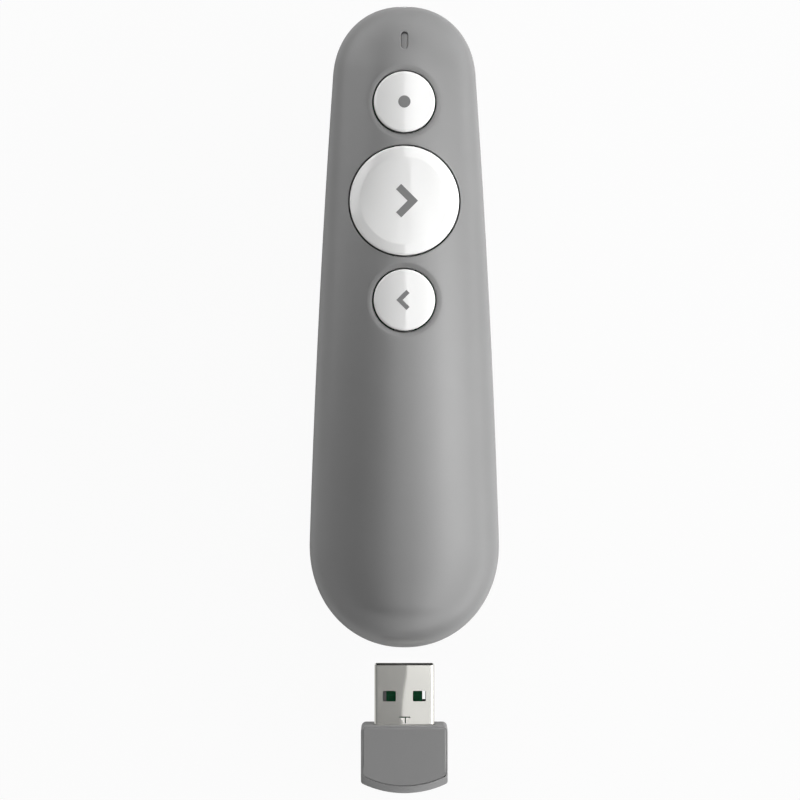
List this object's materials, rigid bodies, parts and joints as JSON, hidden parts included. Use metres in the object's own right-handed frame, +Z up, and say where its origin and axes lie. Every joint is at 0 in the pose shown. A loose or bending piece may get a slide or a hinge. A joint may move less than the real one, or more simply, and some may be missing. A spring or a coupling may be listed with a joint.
{
  "type": "wireless presentation clicker",
  "caption": "Slim rounded hand remote with round buttons, a laser nose, a battery door and a plug-in receiver that docks in the tail.",
  "frame": {"origin": "on the table under the middle of the housing, on the flat of the underside", "axes": "+X to the right seen from above with the nose ahead, +Y along the housing to the laser nose, +Z up through the buttons"},
  "size_m": [0.0376, 0.1567, 0.0204],
  "materials": {
    "housing": "fine satin moulded ABS, mid grey",
    "frame_plastic": "plain moulded, black",
    "button": "smooth moulded, white",
    "dark_plastic": "moulded, black",
    "contact_steel": "nickel plated",
    "plug_steel": "nickel plated folded sheet",
    "board": "dark green solder mask",
    "brass": "turned",
    "gold": "gold plated",
    "clear": "clear",
    "light_guide": "smoked translucent",
    "cell_sleeve": "plain shrink sleeve, dark grey"
  },
  "bodies": {
    "housing": {"top_shell": "housing", "bottom_shell": "housing", "inner_frame": "frame_plastic", "laser_switch": "contact_steel", "next_switch": "contact_steel", "back_switch": "contact_steel", "main_board": "board", "radio_chip": "dark_plastic", "crystal": "dark_plastic", "chip_antenna": "dark_plastic", "passives": "dark_plastic", "status_led": "clear", "light_pipe": "light_guide", "laser_barrel": "brass", "laser_lens": "clear", "laser_diode": "gold", "laser_leads": "contact_steel", "window_bezel": "dark_plastic", "laser_window": "clear", "battery_cell": "cell_sleeve", "battery_terminal": "contact_steel", "negative_spring": "contact_steel", "positive_contact": "contact_steel", "case_screws": "contact_steel"},
    "laser_key": {"laser_button": "button", "laser_plunger": "dark_plastic"},
    "next_key": {"next_button": "button", "next_plunger": "dark_plastic"},
    "back_key": {"back_button": "button", "back_plunger": "dark_plastic"},
    "door": {"battery_door": "housing"},
    "receiver": {"receiver_cap": "housing", "plug_shell": "plug_steel", "receiver_board": "board", "contact_fingers": "gold", "plug_insulator": "dark_plastic"}
  },
  "joints": [
    {"name": "laser_press", "type": "slide", "parent": "housing", "child": "laser_key", "axis": [0, 0, -1], "range_m": [0, 0.0005], "stiffness_N_per_m": 1500},
    {"name": "next_press", "type": "slide", "parent": "housing", "child": "next_key", "axis": [0, 0, -1], "range_m": [0, 0.0005], "stiffness_N_per_m": 1500},
    {"name": "back_press", "type": "slide", "parent": "housing", "child": "back_key", "axis": [0, 0, -1], "range_m": [0, 0.0005], "stiffness_N_per_m": 1500},
    {"name": "door_swing", "type": "hinge", "parent": "housing", "child": "door", "pos_m": [0, 0.0132, 0], "axis": [1, 0, 0], "range_deg": [0, 70]},
    {"name": "receiver_slide", "type": "slide", "parent": "housing", "child": "receiver", "axis": [0, 1, 0], "range_m": [0, 0.0292]}
  ]
}
